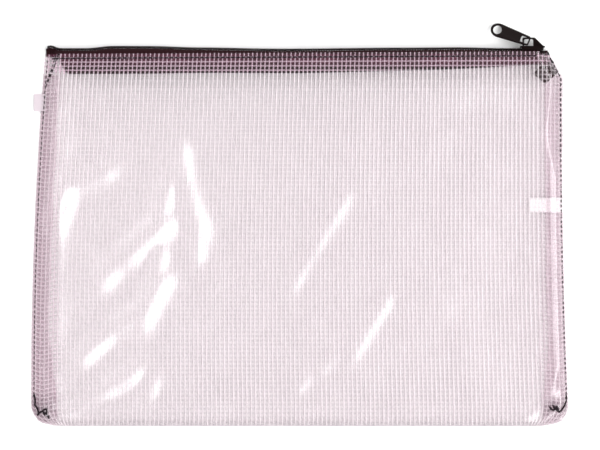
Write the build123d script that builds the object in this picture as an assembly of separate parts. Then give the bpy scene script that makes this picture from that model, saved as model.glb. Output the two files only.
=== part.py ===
from build123d import *
import math
import os

# Lengths are in millimetres. The wallet lies on its back: X runs along the zip, Y towards it, Z up.
# The origin is the middle of the pouch's outline, on the face that it lies on.

# Pouch
pouch_width = 341.0
pouch_height = 236.0
film_thickness = 0.4
corner_radius = 14.0
left_top_inset = 8.8
left_side_bow = 2.4
right_shoulder_inset = 3.8
right_side_bow = 1.3
corner_cut_width = 8.9
corner_cut_height = 14.9
fold_radius = 3.2
fold_taper_length = 18.0
fold_tip_radius = 0.95
fold_gap_angle = 15.0
corner_steps = 4
side_steps = 9

# Side seams
seam_land = 3.2
side_run = 18.0
zip_end_run = 6.0
turning_width = 9.0
turning_layers = 2
ribbon_thickness = 0.3
ramp_shares = (0.25, 0.5, 0.75, 1.0)

# Thread
thread_width = 0.5
thread_height = 0.3
stitch_length = 2.3
stitch_pitch = 3.2
side_stitch_inset = 2.4
zip_stitch_drop = 2.8
tack_height = 9.0
tack_bar_length = 2.6
tack_bars = 5

# Ribbon tab and label
tab_height = 10.8
tab_drop = 31.0
tab_overhang = 4.6
tab_tuck = 3.0
label_length = 21.0
label_height = 9.2
label_drop = 95.9
label_end_inset = 0.4

# Zip tapes and coils
tape_thickness = 0.5
tape_reach = 5.6
tape_edge_gap = 2.0
tape_drop = 12.7
tape_end_clearance = 0.3
zip_rise = 1.3
coil_height = 1.7
coil_half_width = 3.0
coil_end_inset = 1.0
tooth_pitch = 1.6
tooth_width = 0.7
tooth_overlap = 0.9

# Slider
slider_length = 16.0
slider_nose_half_width = 4.6
slider_tail_half_width = 3.9
slider_end_overhang = 7.0
plate_thickness = 0.95
plate_corner_radius = 1.4
nose_notch = 1.2
running_clearance = 0.2
flange_thickness = 0.6
wedge_half_width = 1.7
wedge_length = 5.0
wedge_inset = 0.8
bridge_width = 1.0
bridge_thickness = 1.0
bridge_gap_length = 5.8
bridge_gap_height = 4.4
bridge_foot_length = 5.6
bridge_offset = 2.6
bridge_corner_radius = 1.1

# Pull tab
pull_length = 25.5
pull_thickness = 0.8
pull_end_width = 10.8
pull_base_width = 7.4
pull_base_radius = 1.7
pull_bar_radius = 0.42
pull_bar_slip = 0.5
pull_slot_length = 5.0
pull_slot_width = 5.6
pull_slot_radius = 0.8
pull_eye_length = 5.4
pull_eye_width = 7.6
pull_end_rim = 1.6
pull_bar_height = 2.6
pull_plan_angle = 20.5
pull_dip_angle = 4.5
pull_roll_angle = 36.0

# Levels and places worked out from the sizes above
film_top = pouch_height / 2
film_bottom = -pouch_height / 2
fold_axis_y = film_bottom + fold_radius
corner_y = film_bottom + corner_radius
shoulder_y = film_top - corner_cut_height
turning_top = film_thickness * (1 + turning_layers)
seam_under = turning_top + ribbon_thickness
seam_top = seam_under + film_thickness
zip_middle_z = film_thickness + tape_reach
zip_under = zip_middle_z + tape_reach
fold_under = 2 * fold_radius - film_thickness
tape_low = film_top - tape_drop
tab_middle_y = film_top - tab_drop
label_middle_y = film_top - label_drop
tape_top = film_top + zip_rise + tape_thickness
coil_top = tape_top + coil_height
lower_plate_top = tape_top - tape_thickness - running_clearance
upper_plate_low = coil_top + running_clearance
upper_plate_top = upper_plate_low + plate_thickness


def left_edge(y):
    """X of the film's left edge at a height up the pouch."""
    if y < corner_y:
        return -pouch_width / 2 + corner_radius - math.sqrt(corner_radius**2 - (corner_y - y) ** 2)
    rise = (y - corner_y) / (film_top - corner_y)
    return -pouch_width / 2 + left_top_inset * rise - left_side_bow * 4 * rise * (1 - rise)


def right_edge(y):
    """X of the film's right edge, with the cut corner beside the closed end of the zip."""
    if y < corner_y:
        return pouch_width / 2 - corner_radius + math.sqrt(corner_radius**2 - (corner_y - y) ** 2)
    rise = min((y - corner_y) / (shoulder_y - corner_y), 1)
    x = pouch_width / 2 - right_shoulder_inset * rise - right_side_bow * 4 * rise * (1 - rise)
    cut = max((y - shoulder_y) / corner_cut_height, 0)
    return x - corner_cut_width * cut


tape_left = left_edge(film_top) + seam_land + zip_end_run + tape_end_clearance
tape_right = right_edge(film_top) - seam_land - zip_end_run - tape_end_clearance
coil_left = tape_left + coil_end_inset
coil_right = tape_right - coil_end_inset
slider_nose_x = tape_right + slider_end_overhang
slider_tail_x = slider_nose_x - slider_length
slider_middle_x = slider_nose_x - slider_length / 2
bridge_x = slider_middle_x - bridge_offset


def stations():
    """Heights up the pouch at which its outline has a point."""
    depth = math.asin((corner_y - fold_axis_y) / corner_radius)
    turns = [depth * (1 - i / corner_steps) for i in range(corner_steps)]
    heights = [corner_y - corner_radius * math.sin(turn) for turn in turns]
    heights += [corner_y + (tape_low - corner_y) * i / side_steps for i in range(side_steps)]
    return heights + sorted({tape_low, shoulder_y, film_top})


def slab(points, low, height):
    """Upright solid on an outline in plan."""
    outline = make_face(Polyline(*[(x, y, low) for x, y in points], close=True))
    return extrude(outline, amount=height, dir=(0, 0, 1))


def along_zip(points, start, end):
    """Solid whose section in Y and Z is carried along the zip."""
    section = make_face(Polyline(*[(start, y, z) for y, z in points], close=True))
    return extrude(section, amount=end - start, dir=(1, 0, 0))


def back_panel():
    heights = stations()
    left = [(left_edge(y), y) for y in heights]
    right = [(right_edge(y), y) for y in reversed(heights)]
    return slab(left + right, 0, film_thickness)


def fold_section(x, radius):
    """Open ring of film in the plane across the fold; it stops short of the front panel."""
    inner = radius - film_thickness
    start = math.radians(-90)
    end = math.radians(-270 + fold_gap_angle)

    def point(r, angle):
        return (x, fold_axis_y + r * math.cos(angle), radius + r * math.sin(angle))

    mean = (start + end) / 2
    outer_arc = ThreePointArc(point(radius, start), point(radius, mean), point(radius, end))
    inner_arc = ThreePointArc(point(inner, end), point(inner, mean), point(inner, start))
    last = Line(point(radius, end), point(inner, end))
    first = Line(point(inner, start), point(radius, start))
    return make_face([outer_arc, last, inner_arc, first])


def bottom_fold():
    left_tip = left_edge(fold_axis_y) + seam_land
    right_tip = right_edge(fold_axis_y) - seam_land
    places = (
        (left_tip, fold_tip_radius),
        (left_tip + fold_taper_length, fold_radius),
        (right_tip - fold_taper_length, fold_radius),
        (right_tip, fold_tip_radius),
    )
    return loft([fold_section(x, radius) for x, radius in places], ruled=True)


def front_under(y):
    """Points across the underside of the front film, from the left edge to the right."""
    rise = min((y - fold_axis_y) / (tape_low - fold_axis_y), 1)
    crown = fold_under + (zip_under - fold_under) * rise
    run = side_run + (zip_end_run - side_run) * rise
    left = [(0, seam_under), (seam_land, seam_under)]
    for share in ramp_shares:
        height = seam_under + (crown - seam_under) * share**2 * (3 - 2 * share)
        left.append((seam_land + run * share, height))
    row = [(left_edge(y) + inset, z) for inset, z in left]
    return row + [(right_edge(y) - inset, z) for inset, z in reversed(left)]


def front_panel():
    sections = []
    for y in stations():
        under = front_under(y)
        over = [(x, z + film_thickness) for x, z in reversed(under)]
        sections.append(make_face(Polyline(*[(x, y, z) for x, z in under + over], close=True)))
    return loft(sections, ruled=True)


def tape_strip(low, near, far):
    """Strip of tape along the whole zip, up to the tape's top face."""
    points = [(low, near), (tape_top, near), (tape_top, far), (low, far)]
    return along_zip(points, tape_left, tape_right)


def zip_tape(side):
    """Flat of the tape, sewn to the film; side is +1 at the front and -1 at the back."""
    outer = zip_middle_z + side * tape_reach
    return tape_strip(tape_low, outer - side * tape_thickness, outer)


def tape_edge(side):
    """Edge of the tape that is bent over the pouch's top and carries the coil."""
    inner = zip_middle_z + side * (tape_reach - tape_thickness)
    return tape_strip(tape_top - tape_thickness, zip_middle_z + side * tape_edge_gap, inner)


def coil(side):
    """Comb of coil elements that lock between those of the other half."""
    back = zip_middle_z + side * coil_half_width
    root = zip_middle_z + side * tape_edge_gap
    tip = zip_middle_z - side * tooth_overlap
    count = int((coil_right - coil_left) / tooth_pitch)
    shift = tooth_pitch * (2 - side) / 4
    points = [(coil_left, back), (coil_left, root)]
    for i in range(count):
        middle = coil_left + shift + i * tooth_pitch
        near = middle - tooth_width / 2
        far = middle + tooth_width / 2
        points += [(near, root), (near, tip), (far, tip), (far, root)]
    points += [(coil_right, root), (coil_right, back)]
    comb = make_face(Polyline(*[(x, tape_top, z) for x, z in points], close=True))
    return extrude(comb, amount=coil_height, dir=(0, 1, 0))


def seam_turning(edge, inward):
    """Film edges turned inside the pouch along a side seam."""
    heights = stations()
    outer = [(edge(y), y) for y in heights]
    inner = [(edge(y) + inward * turning_width, y) for y in reversed(heights)]
    return slab(outer + inner, film_thickness, turning_top - film_thickness)


def thread(x, y, z, length, turn):
    """One laid thread; its length lies along Y before it is turned in plan."""
    bar = Box(thread_width, length, thread_height, align=(Align.CENTER, Align.CENTER, Align.MIN))
    return Pos(x, y, z) * Rot(0, 0, turn) * bar


def seam_stitching(edge, inward):
    low = corner_y + tack_height / 2 + stitch_pitch
    count = int((film_top - stitch_length - low) / stitch_pitch)
    stitches = []
    for i in range(count):
        y = low + i * stitch_pitch
        lean = (edge(y + stitch_length / 2) - edge(y - stitch_length / 2)) / stitch_length
        x = edge(y) + inward * side_stitch_inset
        stitches.append(thread(x, y, seam_top, stitch_length, -math.degrees(math.atan(lean))))
    return Compound(children=stitches)


def zip_stitching(level):
    """Straight row that holds the film's top edge to its tape."""
    count = int((tape_right - tape_left - stitch_length) / stitch_pitch)
    first = tape_left + stitch_pitch / 2
    y = film_top - zip_stitch_drop
    places = [first + i * stitch_pitch for i in range(count)]
    return Compound(children=[thread(x, y, level, stitch_length, 90) for x in places])


def corner_tack(edge, inward):
    """Short bars of thread side by side across the seam, where it turns into the fold."""
    bars = []
    for i in range(tack_bars):
        y = corner_y + tack_height * (i / (tack_bars - 1) - 1 / 2)
        x = edge(y) + inward * seam_land / 2
        bars.append(thread(x, y, seam_top, tack_bar_length, 90))
    return Compound(children=bars)


def ribbon(start, end, middle_y, height):
    """Flat length of ribbon laid across a seam, on the turned edges."""
    low = middle_y - height / 2
    high = middle_y + height / 2
    return slab([(start, low), (end, low), (end, high), (start, high)], turning_top, ribbon_thickness)


def side_tab():
    edge = left_edge(tab_middle_y)
    return ribbon(edge - tab_overhang, edge + tab_tuck, tab_middle_y, tab_height)


def inside_label():
    end = right_edge(label_middle_y) - label_end_inset
    return ribbon(end - label_length, end, label_middle_y, label_height)


def slider_plate(low):
    """Plate of the slider in plan: two shoulders at the nose and a narrower tail."""
    half_profile = [(slider_tail_x, slider_tail_half_width), (slider_nose_x, slider_nose_half_width)]
    upper = [(x, zip_middle_z + z) for x, z in half_profile]
    lower = [(x, zip_middle_z - z) for x, z in reversed(half_profile)]
    outline = upper + [(slider_nose_x - nose_notch, zip_middle_z)] + lower
    face = make_face(Polyline(*[(x, low, z) for x, z in outline], close=True))
    plate = extrude(face, amount=plate_thickness, dir=(0, 1, 0))
    ends = plate.edges().filter_by(Axis.Y)
    corners = [edge for edge in ends if abs(edge.center().Z - zip_middle_z) > slider_tail_half_width / 2]
    return fillet(corners, plate_corner_radius)


def slider_flange(side):
    """Lip turned from the upper plate towards the tape, along one side of the slider."""
    low = tape_top + running_clearance
    start = slider_tail_x + plate_corner_radius
    end = slider_nose_x - plate_corner_radius
    grow = (slider_nose_half_width - slider_tail_half_width) / slider_length

    def reach(x):
        return slider_tail_half_width + grow * (x - slider_tail_x)

    outer = [(x, zip_middle_z + side * reach(x)) for x in (start, end)]
    inner = [(x, zip_middle_z + side * (reach(x) - flange_thickness)) for x in (end, start)]
    face = make_face(Polyline(*[(x, low, z) for x, z in outer + inner], close=True))
    return extrude(face, amount=upper_plate_low - low, dir=(0, 1, 0))


def slider_wedge():
    """Post that joins the two plates at the nose and parts the coils."""
    end = slider_nose_x - nose_notch - wedge_inset
    middle = end - wedge_length / 2
    points = [
        (end - wedge_length, zip_middle_z),
        (middle, zip_middle_z + wedge_half_width),
        (end, zip_middle_z),
        (middle, zip_middle_z - wedge_half_width),
    ]
    face = make_face(Polyline(*[(x, lower_plate_top, z) for x, z in points], close=True))
    return extrude(face, amount=upper_plate_low - lower_plate_top, dir=(0, 1, 0))


def slider_bridge():
    """Narrow arch over the upper plate, with a long sloping foot towards the nose."""
    half_gap = bridge_gap_length / 2
    top = bridge_gap_height + bridge_thickness
    outline = [
        (-half_gap - bridge_thickness, 0),
        (-half_gap - bridge_thickness, top),
        (half_gap + bridge_thickness, top),
        (half_gap + bridge_thickness + bridge_foot_length, 0),
    ]
    gap = [(-half_gap, 0), (-half_gap, bridge_gap_height), (half_gap, bridge_gap_height), (half_gap, 0)]
    back = zip_middle_z - bridge_width / 2

    def plate(points):
        lifted = [(bridge_x + x, upper_plate_top + y, back) for x, y in points]
        solid = extrude(make_face(Polyline(*lifted, close=True)), amount=bridge_width, dir=(0, 0, 1))
        upper_edges = solid.edges().filter_by(Axis.Z).sort_by(Axis.Y)[-2:]
        return fillet(upper_edges, bridge_corner_radius)

    return plate(outline) - plate(gap)


def slider_body():
    lower = slider_plate(lower_plate_top - plate_thickness)
    upper = slider_plate(upper_plate_low)
    return lower + upper + slider_wedge() + slider_flange(1) + slider_flange(-1) + slider_bridge()


def pull_plane():
    """Plane of the pull tab: X along its length, Y along the bar in the bridge, Z out of its face."""
    length = Vector(-1, 0, 0).rotate(Axis.Y, -pull_dip_angle)
    level = Vector(0, 0, 1).rotate(Axis.Y, -pull_dip_angle)
    normal = level.rotate(Axis((0, 0, 0), length), pull_roll_angle)
    origin = (bridge_x, upper_plate_top + pull_bar_height, zip_middle_z)
    turned = [v.rotate(Axis.Z, -pull_plan_angle) for v in (length, normal)]
    return Plane(origin=origin, x_dir=turned[0], z_dir=turned[1])


def pull_outline():
    """Flat outline of the tab: a rounded base, sides that spread and a round end."""
    end_x = pull_length - pull_end_width / 2
    half_base = pull_base_width / 2
    half_end = pull_end_width / 2
    base = [(-pull_bar_radius, -half_base), (-pull_bar_radius, half_base)]
    end = [(end_x, half_end), (end_x, -half_end)]
    tapered = make_face(Polyline(*base, *end, close=True))
    base_corners = tapered.vertices().sort_by(Axis.X)[:2]
    return fillet(base_corners, pull_base_radius) + Pos(end_x, 0) * Circle(half_end)


def pull_tab():
    """Flat tab with an eye, and a slot whose end bar runs through the bridge."""
    slot_x = pull_bar_radius + pull_slot_length / 2
    slot = Pos(slot_x, 0) * RectangleRounded(pull_slot_length, pull_slot_width, pull_slot_radius)
    eye_x = pull_length - pull_end_rim - pull_eye_length / 2
    eye = Pos(eye_x, 0) * Ellipse(pull_eye_length / 2, pull_eye_width / 2)
    tab = Pos(0, 0, -pull_thickness / 2) * extrude(pull_outline() - slot - eye, amount=pull_thickness)
    bar = Rot(90, 0, 0) * Cylinder(pull_bar_radius, pull_slot_width)
    return pull_plane() * (Pos(0, -pull_bar_slip, 0) * (tab + bar))


nodes = {
    "back_panel": back_panel(),
    "bottom_fold": bottom_fold(),
    "front_panel": front_panel(),
    "back_zip_tape": zip_tape(-1),
    "front_zip_tape": zip_tape(1),
    "back_tape_edge": tape_edge(-1),
    "front_tape_edge": tape_edge(1),
    "back_coil": coil(-1),
    "front_coil": coil(1),
    "slider_body": slider_body(),
    "pull_tab": pull_tab(),
    "left_seam_turning": seam_turning(left_edge, 1),
    "right_seam_turning": seam_turning(right_edge, -1),
    "left_seam_stitching": seam_stitching(left_edge, 1),
    "right_seam_stitching": seam_stitching(right_edge, -1),
    "front_zip_stitching": zip_stitching(zip_under + film_thickness),
    "back_zip_stitching": zip_stitching(film_thickness + tape_thickness),
    "left_corner_tack": corner_tack(left_edge, 1),
    "right_corner_tack": corner_tack(right_edge, -1),
    "side_tab": side_tab(),
    "inside_label": inside_label(),
}

os.makedirs("parts", exist_ok=True)
for name, shape in nodes.items():
    export_step(shape, os.path.join("parts", name + ".step"))

plane = pull_plane()
print("pull bar at", tuple(plane.origin), "along", tuple(plane.y_dir))
print("fold axis at", fold_axis_y, fold_radius, "slider from", slider_tail_x, "to", slider_nose_x)
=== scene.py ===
import math

import bmesh
import bpy
import numpy as np
from bpy.props import FloatProperty, FloatVectorProperty, IntProperty, PointerProperty
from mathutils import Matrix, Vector, noise


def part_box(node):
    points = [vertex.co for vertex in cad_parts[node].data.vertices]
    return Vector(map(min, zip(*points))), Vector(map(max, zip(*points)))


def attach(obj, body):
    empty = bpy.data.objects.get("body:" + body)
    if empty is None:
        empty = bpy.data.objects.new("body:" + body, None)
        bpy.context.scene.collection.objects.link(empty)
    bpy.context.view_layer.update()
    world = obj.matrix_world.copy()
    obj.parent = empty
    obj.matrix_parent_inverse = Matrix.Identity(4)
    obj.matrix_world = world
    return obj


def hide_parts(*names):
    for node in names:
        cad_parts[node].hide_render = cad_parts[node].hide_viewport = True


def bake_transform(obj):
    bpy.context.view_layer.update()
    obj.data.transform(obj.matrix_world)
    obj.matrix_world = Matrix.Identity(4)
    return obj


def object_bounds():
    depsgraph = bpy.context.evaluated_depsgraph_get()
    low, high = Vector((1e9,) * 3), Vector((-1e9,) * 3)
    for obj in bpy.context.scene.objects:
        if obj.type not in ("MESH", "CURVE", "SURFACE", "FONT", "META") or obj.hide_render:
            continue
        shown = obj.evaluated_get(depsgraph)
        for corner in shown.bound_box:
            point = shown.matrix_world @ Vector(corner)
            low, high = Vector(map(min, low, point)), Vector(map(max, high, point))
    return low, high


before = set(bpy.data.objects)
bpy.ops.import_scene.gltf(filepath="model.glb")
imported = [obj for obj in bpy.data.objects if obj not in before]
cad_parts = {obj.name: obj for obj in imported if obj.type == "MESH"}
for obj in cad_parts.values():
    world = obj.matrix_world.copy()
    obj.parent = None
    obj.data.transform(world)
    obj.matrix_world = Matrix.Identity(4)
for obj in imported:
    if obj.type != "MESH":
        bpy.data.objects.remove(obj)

bl_info = {
    "name": "Document wallet",
    "version": (1, 0, 0),
    "blender": (4, 5, 0),
    "location": "3D Viewport > Sidebar > Wallet",
    "description": "Builds a clear scrim-film document wallet with a coil zip round its packed solids",
    "category": "Object",
}

MM = 0.001
CAD_LOW, CAD_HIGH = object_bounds()
PANEL_LOW, PANEL_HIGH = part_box("front_panel")
TAPE_LOW, TAPE_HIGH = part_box("front_zip_tape")
BACK_TAPE_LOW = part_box("back_zip_tape")[0]
COIL_LOW, COIL_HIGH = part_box("front_coil")
TURNING_LOW, TURNING_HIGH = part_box("left_seam_turning")
TAB_LOW, TAB_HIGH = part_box("side_tab")
LABEL_LOW, LABEL_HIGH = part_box("inside_label")
ZIP_ROW_LOW, ZIP_ROW_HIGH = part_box("front_zip_stitching")
BACK_ROW_LOW, BACK_ROW_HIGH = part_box("back_zip_stitching")
SIDE_ROW_LOW, SIDE_ROW_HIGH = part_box("left_seam_stitching")

# Outline of the pouch, as its solids have it
HALF_WIDTH = PANEL_HIGH.x
FILM_TOP = PANEL_HIGH.y
FOLD_AXIS_Y = PANEL_LOW.y
CORNER_RADIUS = 14 * MM
CORNER_Y = CAD_LOW.y + CORNER_RADIUS
LEFT_TOP_INSET = 8.8 * MM
LEFT_SIDE_BOW = 2.4 * MM
RIGHT_SHOULDER_INSET = 3.8 * MM
RIGHT_SIDE_BOW = 1.3 * MM
CORNER_CUT_WIDTH = 8.9 * MM
CORNER_CUT_HEIGHT = 14.9 * MM
SHOULDER_Y = FILM_TOP - CORNER_CUT_HEIGHT
CORNER_GATHER = 30 * MM

# Levels of the front film's underside
SEAM_UNDER = PANEL_LOW.z
ZIP_UNDER = TAPE_HIGH.z
FOLD_UNDER = 6 * MM
SEAM_LAND = 3.2 * MM
SIDE_RUN = 12 * MM
FOLD_RUN = 9 * MM
ZIP_END_RUN = 6 * MM
LEDGE_SLOPE = 0.2
LEDGE_START = 1.2 * MM
LEDGE_WIDTH = 3 * MM
CORNER_CALM = 108 * MM
RIGHT_LAND = 1.6 * MM
RIGHT_RUN = 2.6 * MM
SHOULDER_RUN = 9 * MM
SHOULDER_LOW = 38 * MM
SHOULDER_HIGH = 67 * MM
RIGHT_LEDGE = 5 * MM


class WalletFilm(bpy.types.PropertyGroup):
    """Sizes and colours of the clear film."""

    thickness: FloatProperty(
        name="Film thickness", description="Thickness of the clear film", default=0.0004, unit="LENGTH")
    sag: FloatProperty(
        name="Sag", description="How far the middle of the front sinks", default=0.0030, unit="LENGTH")
    ripple: FloatProperty(
        name="Ripple", description="Height of the film's small waves", default=0.0003, unit="LENGTH")
    crease_scale: FloatProperty(
        name="Creases", description="Scale of the creases' heights", default=1.0, subtype="FACTOR")
    tint: FloatVectorProperty(
        name="Tint", description="What each face of the film lets through", subtype="COLOR", size=3,
        default=(0.966, 0.9585, 0.962))
    seam_tint: FloatVectorProperty(
        name="Seam tint", description="What each face of the turned-in film lets through", subtype="COLOR", size=3,
        default=(0.908, 0.880, 0.892))
    haze: FloatVectorProperty(
        name="Haze", description="Colour of the film's milky part", subtype="COLOR", size=3,
        default=(0.90, 0.66, 0.79))


class WalletScrim(bpy.types.PropertyGroup):
    """Sizes and colour of the white yarn inside the film."""

    columns: IntProperty(
        name="Upright yarns", description="Yarns across the pouch's width", default=122, subtype="UNSIGNED")
    pitch: FloatProperty(
        name="Pitch", description="Distance between the yarns that run across", default=0.0027, unit="LENGTH")
    upright_width: FloatProperty(
        name="Upright width", description="Width of an upright yarn", default=0.00085, unit="LENGTH")
    cross_width: FloatProperty(
        name="Cross width", description="Width of a yarn that runs across", default=0.00095, unit="LENGTH")
    thickness: FloatProperty(
        name="Yarn thickness", description="Thickness of one yarn", default=0.00022, unit="LENGTH")
    upright_cover: FloatProperty(
        name="Upright cover", description="How much one face of an upright yarn hides", default=0.50,
        subtype="FACTOR")
    cross_cover: FloatProperty(
        name="Cross cover", description="How much one face of a cross yarn hides", default=0.08, subtype="FACTOR")
    upright_colour: FloatVectorProperty(
        name="Upright yarn", description="Colour of the upright yarn", subtype="COLOR", size=3,
        default=(0.985, 0.92, 0.95))
    cross_colour: FloatVectorProperty(
        name="Cross yarn", description="Colour of the yarn that runs across", subtype="COLOR", size=3,
        default=(0.985, 0.92, 0.95))
    upright_sewn_cover: FloatProperty(
        name="Upright sewn cover", description="How much an upright yarn's face hides over the tape and the seams",
        default=0.29, subtype="FACTOR")
    cross_sewn_cover: FloatProperty(
        name="Cross sewn cover", description="How much a cross yarn's face hides over the tape and the seams",
        default=0.24, subtype="FACTOR")
    sewn_colour: FloatVectorProperty(
        name="Yarn on tape", description="Colour of the yarn where the tape lies under it", subtype="COLOR", size=3,
        default=(0.93, 0.70, 0.82))
    seam_colour: FloatVectorProperty(
        name="Yarn on seams", description="Colour of the yarn over the turned-in film", subtype="COLOR", size=3,
        default=(0.86, 0.75, 0.80))


class WalletZip(bpy.types.PropertyGroup):
    """Sizes and colours of the zip's tapes and coils."""

    pitch: FloatProperty(
        name="Coil pitch", description="Distance between two turns of the coil", default=0.0016, unit="LENGTH")
    wire: FloatProperty(
        name="Coil wire", description="Diameter of the coil's filament", default=0.00062, unit="LENGTH")
    tape_colour: FloatVectorProperty(
        name="Tape", description="Colour of the woven tape", subtype="COLOR", size=3,
        default=(0.016, 0.005, 0.0065))
    # Painted sheen: a paler lilac colour laid in clouds on the tape under the film, standing in for light glancing
    # off it
    painted_sheen_colour: FloatVectorProperty(
        name="Sheened tape", description="Colour of the tape where the film rubs on it", subtype="COLOR", size=3,
        default=(0.110, 0.020, 0.050))
    coil_colour: FloatVectorProperty(
        name="Coil", description="Colour of the coil", subtype="COLOR", size=3, default=(0.012, 0.005, 0.006))


class WalletSewing(bpy.types.PropertyGroup):
    """Sizes and colour of the sewing thread."""

    pitch: FloatProperty(
        name="Stitch pitch", description="Distance between two stitches", default=0.0032, unit="LENGTH")
    length: FloatProperty(
        name="Stitch length", description="Length of thread that shows", default=0.0025, unit="LENGTH")
    thread: FloatProperty(
        name="Thread", description="Thickness of the sewing thread", default=0.0008, unit="LENGTH")
    colour: FloatVectorProperty(
        name="Thread colour", description="Colour of the thread", subtype="COLOR", size=3,
        default=(0.010, 0.005, 0.008))


class WalletFittings(bpy.types.PropertyGroup):
    """Finish of the slider and its pull."""

    edge: FloatProperty(
        name="Edge rounding", description="Rounding of the casting's edges", default=0.00014, unit="LENGTH")
    colour: FloatVectorProperty(
        name="Enamel", description="Colour of the enamel", subtype="COLOR", size=3,
        default=(0.006, 0.003, 0.003))


class WalletRibbons(bpy.types.PropertyGroup):
    """Sizes and colour of the tab and the label."""

    thickness: FloatProperty(
        name="Ribbon thickness", description="Thickness of the ribbon", default=0.00022, unit="LENGTH")
    tab_colour: FloatVectorProperty(
        name="Tab", description="Colour of the tab's ribbon", subtype="COLOR", size=3, default=(0.57, 0.50, 0.54))
    label_colour: FloatVectorProperty(
        name="Label", description="Colour of the label's ribbon", subtype="COLOR", size=3, default=(0.95, 0.93, 0.94))


class WalletStage(bpy.types.PropertyGroup):
    """Camera, floor and light."""

    frame_width: FloatProperty(
        name="Frame width", description="Width that the camera sees", default=0.3798, unit="LENGTH")
    camera_height: FloatProperty(
        name="Camera height", description="Height of the camera over the floor", default=2.6, unit="LENGTH")
    floor_colour: FloatVectorProperty(
        name="Floor", description="Colour of the floor", subtype="COLOR", size=3, default=(0.96, 0.96, 0.96))
    zenith: FloatProperty(
        name="Zenith", description="Strength of the light from straight above", default=0.15, subtype="FACTOR")
    horizon: FloatProperty(
        name="Horizon", description="Strength of the light from low down all round", default=2.25,
        subtype="FACTOR")
    key: FloatProperty(
        name="Key", description="Power of the soft box at the lower right", default=75.0, unit="POWER")
    side: FloatProperty(
        name="Side", description="Power of the weaker soft box at the upper left", default=12.0, unit="POWER")


# Node trees and meshes

FINE_BUMP = 0.1 * MM


def node(tree, kind, sockets=None, **options):
    """Adds a node, sets its options, and sets or links its inputs."""
    made = tree.nodes.new(kind)
    for key, value in options.items():
        setattr(made, key, value)
    for key, value in (sockets or {}).items():
        if isinstance(value, bpy.types.NodeSocket):
            tree.links.new(value, made.inputs[key])
        else:
            made.inputs[key].default_value = value
    return made


def maths(tree, operation, first, second=0.0):
    """Adds a Math node of a shader or a geometry tree, and returns its value."""
    return node(tree, "ShaderNodeMath", {0: first, 1: second}, operation=operation).outputs[0]


def ramp(tree, value, low, high, to_low=0.0, to_high=1.0):
    """Takes a value from one range to another, and holds it at both ends."""
    return node(tree, "ShaderNodeMapRange", {
        "Value": value, "From Min": low, "From Max": high, "To Min": to_low, "To Max": to_high}).outputs[0]


def wave(tree, along, pitch):
    """A swing between -1 and 1 that comes again after each pitch."""
    return maths(tree, "SINE", maths(tree, "MULTIPLY", along, 2 * math.pi / pitch))


def lifted(tree, swing):
    """Takes a swing between -1 and 1 to the range from 0 to 1."""
    return node(tree, "ShaderNodeMath", {0: swing, 1: 0.5, 2: 0.5}, operation="MULTIPLY_ADD").outputs[0]


def clouds(tree, place, scale, detail):
    """Noise over a place."""
    return node(tree, "ShaderNodeTexNoise", {"Vector": place, "Scale": scale, "Detail": detail}).outputs["Fac"]


def bumped(tree, height, strength, depth=FINE_BUMP):
    """Normals of a surface that stands up by a value."""
    return node(tree, "ShaderNodeBump", {
        "Height": height, "Strength": strength, "Distance": depth}).outputs["Normal"]


def object_place(tree):
    """The place on the object."""
    return node(tree, "ShaderNodeTexCoord").outputs["Object"]


def parts_of(tree, vector):
    """The three parts of a vector."""
    return node(tree, "ShaderNodeSeparateXYZ", {0: vector}).outputs


def opaque(colour):
    """A colour with its alpha."""
    return (*colour, 1.0)


def scaled(colour, share):
    """A colour made darker or lighter, and no lighter than white."""
    return tuple(min(c * share, 1) for c in colour)


def mixed(tree, factor, first, second, way="MIX"):
    """A colour between two, each of them a socket or a plain colour."""
    first, second = (c if isinstance(c, bpy.types.NodeSocket) else opaque(c) for c in (first, second))
    return node(tree, "ShaderNodeMix", {"Factor": factor, 6: first, 7: second},
                data_type="RGBA", blend_type=way).outputs[2]


def principled(tree, colour, roughness, specular, normal=None):
    """A plain surface; its colour is a socket."""
    sockets = {"Base Color": colour, "Roughness": roughness, "Specular IOR Level": specular}
    if normal is not None:
        sockets["Normal"] = normal
    return node(tree, "ShaderNodeBsdfPrincipled", sockets).outputs[0]


def shader_tree(name):
    """A new material with an empty tree."""
    material = bpy.data.materials.new(name)
    material.use_nodes = True
    tree = material.node_tree
    tree.nodes.clear()
    return material, tree


def end_shader(material, surface):
    """Gives a material its surface."""
    node(material.node_tree, "ShaderNodeOutputMaterial", {"Surface": surface})
    return material


def mesh_object(name, vertices, faces=(), edges=()):
    """A new object of plain points, edges and faces."""
    mesh = bpy.data.meshes.new(name)
    mesh.from_pydata([tuple(v) for v in vertices], list(edges), list(faces))
    mesh.update()
    made = bpy.data.objects.new(name, mesh)
    bpy.context.scene.collection.objects.link(made)
    return made


def finish_mesh(made, material):
    """Smooths a piece and gives it its material."""
    mesh = made.data
    mesh.polygons.foreach_set("use_smooth", [True] * len(mesh.polygons))
    mesh.materials.clear()
    mesh.materials.append(material)
    return made


def polylines(name, lines):
    """One mesh of separate open lines."""
    vertices, edges = [], []
    for line in lines:
        start = len(vertices)
        vertices.extend(line)
        edges.extend((start + k, start + k + 1) for k in range(len(line) - 1))
    return mesh_object(name, vertices, edges=edges)


def geometry_tree(name, sizes):
    """An empty Geometry Nodes tree with named inputs; returns it with its group input."""
    tree = bpy.data.node_groups.new(name, "GeometryNodeTree")
    tree.interface.new_socket("Geometry", in_out="INPUT", socket_type="NodeSocketGeometry")
    tree.interface.new_socket("Material", in_out="INPUT", socket_type="NodeSocketMaterial")
    for label in sizes:
        tree.interface.new_socket(label, in_out="INPUT", socket_type="NodeSocketFloat")
    tree.interface.new_socket("Geometry", in_out="OUTPUT", socket_type="NodeSocketGeometry")
    return tree, node(tree, "NodeGroupInput").outputs


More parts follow.
